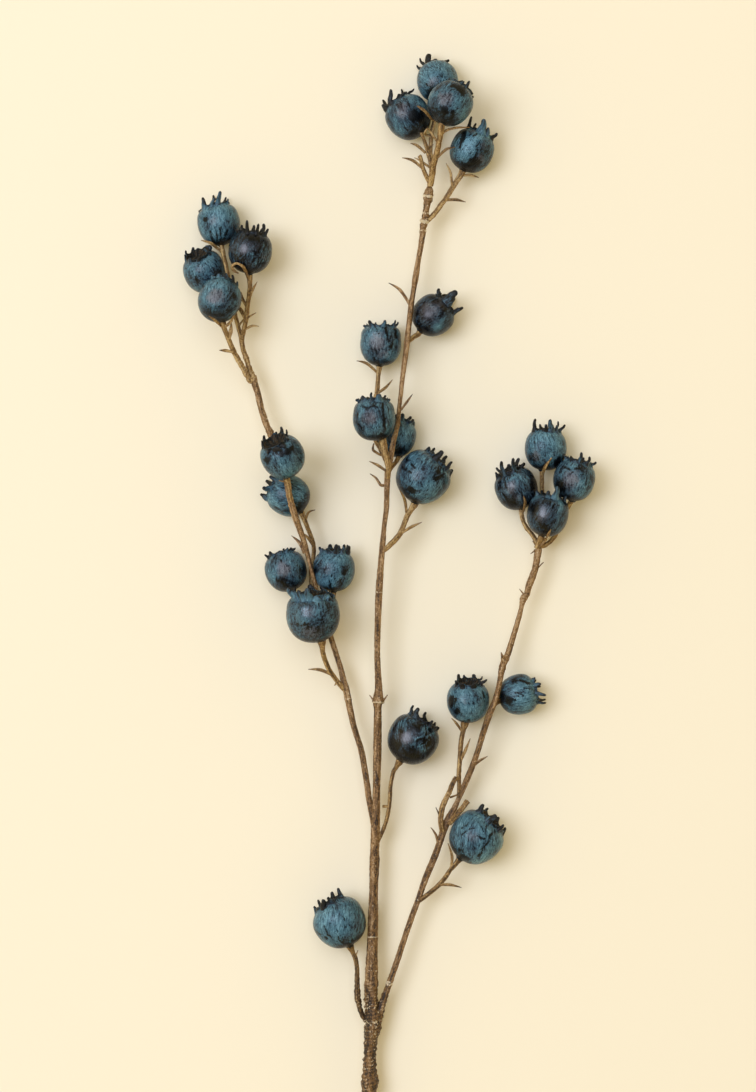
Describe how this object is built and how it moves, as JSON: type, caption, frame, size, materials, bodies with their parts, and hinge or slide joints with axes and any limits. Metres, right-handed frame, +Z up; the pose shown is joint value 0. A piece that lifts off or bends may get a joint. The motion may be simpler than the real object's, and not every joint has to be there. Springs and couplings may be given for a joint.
{
  "type": "faux blueberry spray",
  "caption": "Loose artificial blueberry spray lying flat: wrapped stems fork from one base and carry berries with pointed crowns on fine bracted twigs.",
  "frame": {"origin": "bottom centre of the bounding box, on the plane the berries rest on", "axes": "+Z up from that plane, +Y along the spray from its cut base to its tip, +X to the right seen from above with the tip up"},
  "size_m": [0.1636, 0.453, 0.0333],
  "materials": {
    "berry_paint": "matte",
    "stem_wrap": "matte",
    "twig_plastic": "matte"
  },
  "bodies": {
    "root": {"berry_top_1": "berry_paint", "berry_top_2": "berry_paint", "berry_top_3": "berry_paint", "berry_top_4": "berry_paint", "berry_left_top_1": "berry_paint", "berry_left_top_2": "berry_paint", "berry_left_top_3": "berry_paint", "berry_left_top_4": "berry_paint", "berry_centre_1": "berry_paint", "berry_centre_2": "berry_paint", "berry_centre_3": "berry_paint", "berry_centre_4": "berry_paint", "berry_centre_5": "berry_paint", "berry_left_mid_1": "berry_paint", "berry_left_mid_2": "berry_paint", "berry_left_mid_3": "berry_paint", "berry_left_mid_4": "berry_paint", "berry_left_mid_5": "berry_paint", "berry_right_top_1": "berry_paint", "berry_right_top_2": "berry_paint", "berry_right_top_3": "berry_paint", "berry_right_top_4": "berry_paint", "berry_right_low_1": "berry_paint", "berry_right_low_2": "berry_paint", "berry_right_low_3": "berry_paint", "berry_base_1": "berry_paint", "berry_base_2": "berry_paint", "main_stem_base": "stem_wrap", "main_stem_lower": "stem_wrap", "main_stem_middle": "stem_wrap", "main_stem_top": "stem_wrap", "left_branch": "stem_wrap", "right_branch": "stem_wrap", "top_spray_twig": "twig_plastic", "right_top_twig": "twig_plastic", "left_top_twig": "twig_plastic", "a4_twig": "twig_plastic", "b4_twig": "twig_plastic", "c1_stalk": "twig_plastic", "c2_twig": "twig_plastic", "c3_twig": "twig_plastic", "c4_twig": "twig_plastic", "c5_twig": "twig_plastic", "d1_stalk": "twig_plastic", "d2_twig": "twig_plastic", "d3_d4_twig": "twig_plastic", "d5_twig": "twig_plastic", "f1_twig": "twig_plastic", "f2_stalk": "twig_plastic", "f3_twig": "twig_plastic", "bare_spur_twig": "twig_plastic", "short_spur": "twig_plastic", "g1_twig": "twig_plastic", "g2_twig": "twig_plastic"}
  },
  "joints": []
}
